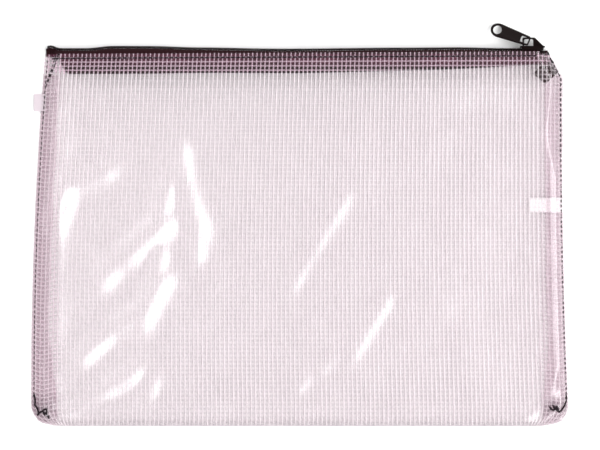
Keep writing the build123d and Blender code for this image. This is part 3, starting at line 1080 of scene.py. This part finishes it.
class WALLET_OT_tapes(bpy.types.Operator):
    """Makes the two woven tapes, each bent over at the top to carry its half of the coil"""

    bl_idname = "wallet.tapes"
    bl_label = "Zip tapes"

    FLAT_STEPS = 8
    BEND_STEPS = 6
    END_STEPS = 10
    NARROW_FROM, NARROW_RUN, NARROW_WIDTH = -147 * MM, 7 * MM, 1.5 * MM
    WAVER, WAVER_RATE, WAVER_SEED = 0.5 * MM, 18, 0.5
    # The turned-down end's corners, in millimetres
    END_CORNERS = ((147, 105), (155, 98.5), (163.5, 106), (157, 115))

    def turned_end(self, film):
        """The front tape's end, turned down towards the right seam under the film."""
        low_left, low_right, high_right, high_left = (Vector(c) * MM for c in self.END_CORNERS)
        shares = spread(0, 1, self.END_STEPS)
        rows = []
        for up in shares:
            first, last = low_left.lerp(high_left, up), low_right.lerp(high_right, up)
            row = [first.lerp(last, share) for share in shares]
            rows.append([(p.x, p.y, tape_level(p.x, p.y, film)) for p in row])
        return np.array(rows)

    def declare(self, made, rows, sewn_to):
        """Does nothing with the strip of tape."""

    def section(self, x, side, film):
        """Middle line of the tape's section: flat along its film, then bent round to the chain."""
        turn = film_top(x) if side > 0 else FILM_TOP
        low = TAPE_LOW.y + self.WAVER * noise.noise(Vector((x * self.WAVER_RATE, side, self.WAVER_SEED)))
        low += TAPE_RISE * ((x - ZIP_LEFT) / (ZIP_RIGHT - ZIP_LEFT)) ** TAPE_RISE_POWER
        low += (turn - self.NARROW_WIDTH - low) * eased((self.NARROW_FROM - x) / self.NARROW_RUN)
        top = COIL_LOW.y - TAPE_THICKNESS / 2 + chain_bow(x)
        points = []
        for y in spread(low, turn, self.FLAT_STEPS):
            flat = tape_level(x, y, film) if side > 0 else BACK_TAPE_LOW.z + TAPE_THICKNESS / 2
            points.append((x, y, flat))
        edge = chain_level(x, film) + side * EDGE_REACH
        for step in range(1, self.BEND_STEPS + 1):
            bend = math.pi / 2 * step / self.BEND_STEPS
            points.append((x, turn + (top - turn) * math.sin(bend), flat + (edge - flat) * (1 - math.cos(bend))))
        return points

    def execute(self, context):
        film = context.scene.wallet_film
        woven = tape_material(context.scene.wallet_zip)
        places = spread(ZIP_LEFT, ZIP_RIGHT, ZIP_STEPS)
        for side, nodes in ((1, ("front_zip_tape", "front_tape_edge")), (-1, ("back_zip_tape", "back_tape_edge"))):
            rows = np.array([self.section(x, side, film) for x in places]).transpose(1, 0, 2)
            if side < 0:
                rows = rows[::-1]
            normals = outward(rows)
            if side < 0:
                made = shell("back_tape", rows, normals, TAPE_THICKNESS)
                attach(finish_mesh(made, woven), "back")
                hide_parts(*nodes)
                self.declare(made, rows, "back_film")
                continue
            middle = min(range(len(places)), key=lambda k: abs(places[k]))
            for half, hold in HALVES:
                part = half_of(half, middle)
                made = shell("front_tape_" + half, rows[:, part], normals[:, part], TAPE_THICKNESS,
                             left=half == "left", right=half == "right")
                hold(finish_mesh(made, woven))
                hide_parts(*nodes)
                self.declare(made, rows[:, part], "front_film_" + half)
        rows = self.turned_end(film)
        made = shell("tape_end_turned_down", rows, outward(rows), TAPE_THICKNESS)
        hold_right(finish_mesh(made, woven))
        self.declare(made, rows, "front_film_right")
        return {"FINISHED"}


class WALLET_OT_coils(bpy.types.Operator):
    """Winds the two halves of the zip's coil"""

    bl_idname = "wallet.coils"
    bl_label = "Coils"

    LINE_STEPS = 80
    LEFT_SHORT, RIGHT_SHORT = 1 * MM, 6 * MM

    def line(self, end, side, film):
        """Middle line of a stretch of one coil half, from the wallet's middle to an end of the zip."""
        half_width = (COIL_HIGH.z - COIL_LOW.z) / 2
        points = []
        for x in spread(0, end, self.LINE_STEPS):
            middle = chain_level(x, film)
            high = (COIL_LOW.y + COIL_HIGH.y) / 2 + chain_bow(x)
            points.append((x, high, middle + side * (COIL_HIGH.z - ZIP_MIDDLE_Z - half_width)))
        return points

    def execute(self, context):
        film, settings = context.scene.wallet_film, context.scene.wallet_zip
        nylon = speckled_material(
            "black coil filament", settings.coil_colour, roughness=0.5, specular=0.12, grain=900.0, depth=0.15)
        tree = coil_tree()
        values = {
            "Material": nylon, "Pitch": settings.pitch, "Wire": settings.wire,
            "Half width": (COIL_HIGH.z - COIL_LOW.z - settings.wire) / 2,
            "Half height": (COIL_HIGH.y - COIL_LOW.y - settings.wire) / 2, "Phase": 0.0}
        left, right = ZIP_LEFT + self.LEFT_SHORT, ZIP_RIGHT - self.RIGHT_SHORT
        for half, hold in HALVES:
            end = left if half == "left" else right
            made = polylines("front_coil_" + half, [self.line(end, 1, film)])
            hold(finish_mesh(grow(made, tree, values), nylon))
            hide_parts("front_coil")
        made = polylines("back_coil_wound", [self.line(end, -1, film) for end in (left, right)])
        values["Phase"] = math.pi
        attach(finish_mesh(grow(made, tree, values), nylon), "back")
        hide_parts("back_coil")
        return {"FINISHED"}


MERGE_DISTANCE = 0.002 * MM
FLAT_ANGLE, ROUNDED_ANGLE, SHADED_ANGLE = (math.radians(angle) for angle in (1, 35, 50))


def soft_copy(name, cad_node, edge):
    """A copy of a casting's solid with its faces merged and its edges rounded."""
    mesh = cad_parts[cad_node].data.copy()
    shape = bmesh.new()
    shape.from_mesh(mesh)
    bmesh.ops.remove_doubles(shape, verts=shape.verts, dist=MERGE_DISTANCE)
    bmesh.ops.dissolve_limit(shape, angle_limit=FLAT_ANGLE, verts=shape.verts, edges=shape.edges)
    sharp = [e for e in shape.edges if len(e.link_faces) == 2 and e.calc_face_angle() > ROUNDED_ANGLE]
    bmesh.ops.bevel(shape, geom=sharp, offset=edge, segments=2, affect="EDGES", profile=0.6, clamp_overlap=True)
    bmesh.ops.triangulate(shape, faces=[f for f in shape.faces if len(f.verts) > 4])
    shape.to_mesh(mesh)
    shape.free()
    made = bpy.data.objects.new(name, mesh)
    bpy.context.scene.collection.objects.link(made)
    return made


class WALLET_OT_slider(bpy.types.Operator):
    """Makes the slider and its pull, with soft enamelled edges"""

    bl_idname = "wallet.slider"
    bl_label = "Slider and pull"

    def execute(self, context):
        settings = context.scene.wallet_fittings
        enamel = speckled_material(
            "black enamel", settings.colour, roughness=0.36, specular=0.06, grain=700.0, depth=0.12)
        for name, cad_node, body in (
                ("slider_casting", "slider_body", "slider"), ("pull_casting", "pull_tab", "pull")):
            made = soft_copy(name, cad_node, settings.edge)
            finish_mesh(made, enamel)
            made.data.set_sharp_from_angle(angle=SHADED_ANGLE)
            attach(made, body)
            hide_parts(cad_node)
        return {"FINISHED"}


class WALLET_OT_stitching(bpy.types.Operator):
    """Sews the side seams and the film to the tapes"""

    bl_idname = "wallet.stitching"
    bl_label = "Stitching"

    ROW_STEPS = 60
    INSETS = (1.9 * MM, 1.3 * MM)
    LEFT_OVER, RIGHT_OVER = 5 * MM, 3 * MM
    ZIP_FILL = 1.05
    ZIP_THREAD = 1.2
    SIDE_THREADS = {"left": 0.75, "right": 1.15}
    # The thread's middle stands this part of its thickness above the film
    RISE_PART = 5
    # Short runs of stitches at the ends of the zip, in millimetres
    END_RUNS = {
        "left": (
            ((-160.6, 98), (-159.6, 103), (-157.6, 108), (-154.8, 116)),
            ((-159.4, 101), (-157.2, 106), (-154.0, 113), (-152.6, 117)),
            ((-158.6, 104), (-155.4, 111), (-153.4, 116.5))),
        "right": (((157.6, 118.0), (159.0, 114.4)), ((160.3, 112.8), (161.8, 110.3)))}

    def on_film(self, x, y):
        """A point of thread that lies on the front film."""
        film, sewing = bpy.context.scene.wallet_film, bpy.context.scene.wallet_sewing
        return x, y, front_level(x, y, film) + film.thickness / 2 + sewing.thread / self.RISE_PART

    def execute(self, context):
        sewing = context.scene.wallet_sewing
        black = speckled_material(
            "black sewing thread", sewing.colour, roughness=0.75, specular=0.2, grain=1800.0, depth=0.5)
        tree = stitch_tree()
        values = {"Material": black, "Pitch": sewing.pitch, "Length": sewing.length, "Thread": sewing.thread}
        tight = {**values, "Length": sewing.pitch * self.ZIP_FILL, "Thread": sewing.thread * self.ZIP_THREAD}
        for side, edge, inset, hold in (
                ("left", left_edge, self.INSETS[0], hold_left), ("right", right_edge, -self.INSETS[1], hold_right)):
            runs = [[(edge(y) + inset, y) for y in spread(SIDE_ROW_LOW.y, SIDE_ROW_HIGH.y, self.ROW_STEPS)]]
            runs += [[(x * MM, y * MM) for x, y in run] for run in self.END_RUNS[side]]
            made = polylines(side + "_seam_thread", [[self.on_film(x, y) for x, y in run] for run in runs])
            drawn_in = {**values, "Thread": sewing.thread * self.SIDE_THREADS[side]}
            hold(finish_mesh(grow(made, tree, drawn_in), black))
            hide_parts(side + "_seam_stitching")
        y = (ZIP_ROW_LOW.y + ZIP_ROW_HIGH.y) / 2
        for half, hold in HALVES:
            end = ZIP_ROW_LOW.x - self.LEFT_OVER if half == "left" else ZIP_ROW_HIGH.x + self.RIGHT_OVER
            row = [self.on_film(x, y + film_top(x) - FILM_TOP) for x in spread(0, end, self.ROW_STEPS)]
            made = polylines("front_zip_thread_" + half, [row])
            hold(finish_mesh(grow(made, tree, tight), black))
            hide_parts("front_zip_stitching")
        z = BACK_ROW_LOW.z + sewing.thread / self.RISE_PART
        made = polylines("back_zip_thread", [[(BACK_ROW_LOW.x, y, z), (BACK_ROW_HIGH.x, y, z)]])
        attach(finish_mesh(grow(made, tree, values), black), "back")
        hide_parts("back_zip_stitching")
        return {"FINISHED"}


class WALLET_OT_tacks(bpy.types.Operator):
    """Bunches thread at the two bottom corners"""

    bl_idname = "wallet.tacks"
    bl_label = "Corner tacks"

    # Where the needle went in and out at each corner, in millimetres
    PATHS = {
        "left": (
            (-168.7, -98.2), (-168.1, -104.5), (-165.8, -109.6), (-166.5, -111.2), (-163.3, -108.7), (-160.5, -107.4),
            (-161.4, -110.9), (-162.4, -109.0), (-158.9, -113.1), (-159.2, -110.9)),
        "right": (
            (168.7, -98.2), (168.0, -104.0), (164.0, -109.0), (162.0, -105.2), (163.3, -108.3), (160.1, -104.6),
            (160.8, -107.7), (157.9, -105.8), (158.9, -108.3))}
    STEPS = 6
    SLACK = 0.5 * MM
    # Thickness, height and arch of the bunched thread, as shares of one thread
    CORD, LIFT, ARCH = 1.5, 0.3, 0.25

    def execute(self, context):
        film, sewing = context.scene.wallet_film, context.scene.wallet_sewing
        black = bpy.data.materials["black sewing thread"]
        tree = cord_tree()
        for side, hold in HALVES:
            thread = []
            path = [Vector(point) * MM for point in self.PATHS[side]]
            for first, last in zip(path, path[1:]):
                for step in range(self.STEPS):
                    share = step / self.STEPS
                    point = first.lerp(last, share)
                    arch = math.sin(math.pi * share)
                    x, y = point + (last - first).orthogonal().normalized() * self.SLACK * arch
                    lift = sewing.thread * (self.LIFT + self.ARCH * arch)
                    thread.append((x, y, front_level(x, y, film) + film.thickness / 2 + lift))
            made = polylines(side + "_corner_thread", [thread])
            values = {"Material": black, "Thread": sewing.thread * self.CORD}
            hold(finish_mesh(grow(made, tree, values), black))
            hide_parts(side + "_corner_tack")
        return {"FINISHED"}


class WALLET_OT_ribbons(bpy.types.Operator):
    """Makes the folded ribbon tab at the left seam and the bare label inside the right seam"""

    bl_idname = "wallet.ribbons"
    bl_label = "Tab and label"

    STEPS, LABEL_STEPS, SIDES = 10, 24, 8
    FOLD_ROOM = 0.15 * MM
    WAVE = 0.12 * MM
    TAB_TWIST, TAB_WAVES, LABEL_WAVES = 2.4, 300, 9
    LABEL_CURL = 0.9 * MM

    def tab_points(self):
        """Middle of the folded ribbon, from its lower layer round the fold and back."""
        gap = (TAB_HIGH.z - TAB_LOW.z) / 2 + self.FOLD_ROOM
        middle = (TAB_LOW.z + TAB_HIGH.z) / 2
        turn_x = TAB_LOW.x + gap
        path = [(TAB_HIGH.x + (turn_x - TAB_HIGH.x) * k / self.STEPS, -gap) for k in range(self.STEPS)]
        for step in range(self.STEPS + 1):
            turn = math.pi * step / self.STEPS
            path.append((turn_x - gap * math.sin(turn), -gap * math.cos(turn)))
        path += [(turn_x + (TAB_HIGH.x - turn_x) * k / self.STEPS, gap) for k in range(1, self.STEPS + 1)]
        rows = []
        for k, y in enumerate(spread(TAB_LOW.y, TAB_HIGH.y, self.SIDES)):
            twist = self.TAB_TWIST * k / self.SIDES
            rows.append([(x, y, middle + z + self.WAVE * math.sin(twist + x * self.TAB_WAVES)) for x, z in path])
        return np.array(rows)

    def label_points(self):
        """Middle of the label, its free end curled up a little."""
        middle = (LABEL_LOW.z + LABEL_HIGH.z) / 2
        rows = []
        for y in spread(LABEL_LOW.y, LABEL_HIGH.y, self.SIDES):
            row = []
            for share in spread(0, 1, self.LABEL_STEPS):
                free = 1 - share
                lift = self.LABEL_CURL * free ** 2 + self.WAVE * math.sin(self.LABEL_WAVES * share) * free
                row.append((LABEL_LOW.x + (LABEL_HIGH.x - LABEL_LOW.x) * share, y, middle + lift))
            rows.append(row)
        return np.array(rows)

    def execute(self, context):
        settings = context.scene.wallet_ribbons
        for name, cad_node, rows, colour in (
                ("folded_tab", "side_tab", self.tab_points(), settings.tab_colour),
                ("bare_label", "inside_label", self.label_points(), settings.label_colour)):
            satin = ribbon_material(name.replace("_", " ") + " satin", colour)
            made = shell(name, rows, outward(rows), settings.thickness)
            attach(finish_mesh(made, satin), "back")
            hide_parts(cad_node)
        return {"FINISHED"}


class WALLET_OT_stage(bpy.types.Operator):
    """Sets the camera over the wallet, the floor and the lights"""

    bl_idname = "wallet.stage"
    bl_label = "Camera, floor and light"

    MIDDLE = Vector((0, 9.4 * MM, 6 * MM))
    SENSOR_WIDTH = 36
    FLOOR_HALF, FLOOR_DROP = 2.0, 0.15 * MM
    # Distance in metres, lean off the vertical and turn in degrees, width and length in metres
    KEY_BOX = (3.0, 28, -22, (3.0, 1.0))
    SIDE_BOX = (2.2, 48, 140, (1.0, 1.0))
    FILM_BOUNCES = 40

    def soft_box(self, name, power, distance, lean, turn, size):
        """An area light that looks at the wallet from a distance, off the vertical by a lean and a turn."""
        lean, turn = math.radians(lean), math.radians(turn)
        light = bpy.data.lights.new(name, "AREA")
        light.energy, light.shape, light.size, light.size_y = power, "RECTANGLE", *size
        made = bpy.data.objects.new(name, light)
        bpy.context.scene.collection.objects.link(made)
        direction = Vector((math.sin(lean) * math.cos(turn), math.sin(lean) * math.sin(turn), math.cos(lean)))
        made.location = self.MIDDLE + direction * distance
        made.rotation_euler = (-direction).to_track_quat("-Z", "Y").to_euler()

    def execute(self, context):
        settings, scene = context.scene.wallet_stage, context.scene
        lens = bpy.data.cameras.new("camera")
        camera = bpy.data.objects.new("camera", lens)
        scene.collection.objects.link(camera)
        lens.sensor_width = self.SENSOR_WIDTH
        distance = settings.camera_height - self.MIDDLE.z
        lens.lens = lens.sensor_width * distance / settings.frame_width
        camera.location = (self.MIDDLE.x, self.MIDDLE.y, settings.camera_height)
        scene.camera = camera

        half = self.FLOOR_HALF
        corners = [(-half, -half, 0), (half, -half, 0), (half, half, 0), (-half, half, 0)]
        floor = mesh_object("floor", corners, [(0, 1, 2, 3)])
        floor.location.z = -self.FLOOR_DROP
        floor.data.materials.append(floor_material(settings.floor_colour))

        world = bpy.data.worlds.new("studio")
        world.use_nodes = True
        tree = world.node_tree
        up = parts_of(tree, node(tree, "ShaderNodeTexCoord").outputs["Generated"])[2]
        strength = ramp(tree, up, 0.0, 1.0, settings.horizon, settings.zenith)
        tree.links.new(strength, tree.nodes["Background"].inputs["Strength"])
        tree.nodes["Background"].inputs["Color"].default_value = (1, 1, 1, 1)
        scene.world = world
        self.soft_box("key soft box", settings.key, *self.KEY_BOX)
        self.soft_box("side soft box", settings.side, *self.SIDE_BOX)
        scene.view_settings.view_transform = "Standard"
        scene.view_settings.look = "None"
        scene.cycles.transparent_max_bounces = self.FILM_BOUNCES
        return {"FINISHED"}


class WALLET_PT_sidebar(bpy.types.Panel):
    """Settings and steps of the wallet"""

    bl_label = "Document wallet"
    bl_idname = "WALLET_PT_sidebar"
    bl_space_type = "VIEW_3D"
    bl_region_type = "UI"
    bl_category = "Wallet"

    def draw(self, context):
        for key, group in SETTINGS:
            box = self.layout.box()
            for name in group.__annotations__:
                box.prop(getattr(context.scene, key), name)
        for step in STEPS:
            self.layout.operator(step.bl_idname)


SETTINGS = (
    ("wallet_film", WalletFilm), ("wallet_scrim", WalletScrim), ("wallet_zip", WalletZip),
    ("wallet_sewing", WalletSewing), ("wallet_fittings", WalletFittings), ("wallet_ribbons", WalletRibbons),
    ("wallet_stage", WalletStage))
STEPS = (
    WALLET_OT_film, WALLET_OT_turnings, WALLET_OT_scrim, WALLET_OT_tapes, WALLET_OT_coils, WALLET_OT_slider,
    WALLET_OT_stitching, WALLET_OT_tacks, WALLET_OT_ribbons, WALLET_OT_stage)


def register():
    """Adds the settings, the steps and the panel."""
    for key, group in SETTINGS:
        bpy.utils.register_class(group)
        setattr(bpy.types.Scene, key, PointerProperty(type=group))
    for step in STEPS:
        bpy.utils.register_class(step)
    bpy.utils.register_class(WALLET_PT_sidebar)


def unregister():
    """Takes the panel, the steps and the settings away again."""
    bpy.utils.unregister_class(WALLET_PT_sidebar)
    for step in reversed(STEPS):
        bpy.utils.unregister_class(step)
    for key, group in reversed(SETTINGS):
        delattr(bpy.types.Scene, key)
        bpy.utils.unregister_class(group)


def main():
    register()
    bpy.ops.wallet.film()
    bpy.ops.wallet.turnings()
    bpy.ops.wallet.scrim()
    bpy.ops.wallet.tapes()
    bpy.ops.wallet.coils()
    bpy.ops.wallet.slider()
    bpy.ops.wallet.stitching()
    bpy.ops.wallet.tacks()
    bpy.ops.wallet.ribbons()
    bpy.ops.wallet.stage()


if __name__ == "__main__":
    main()
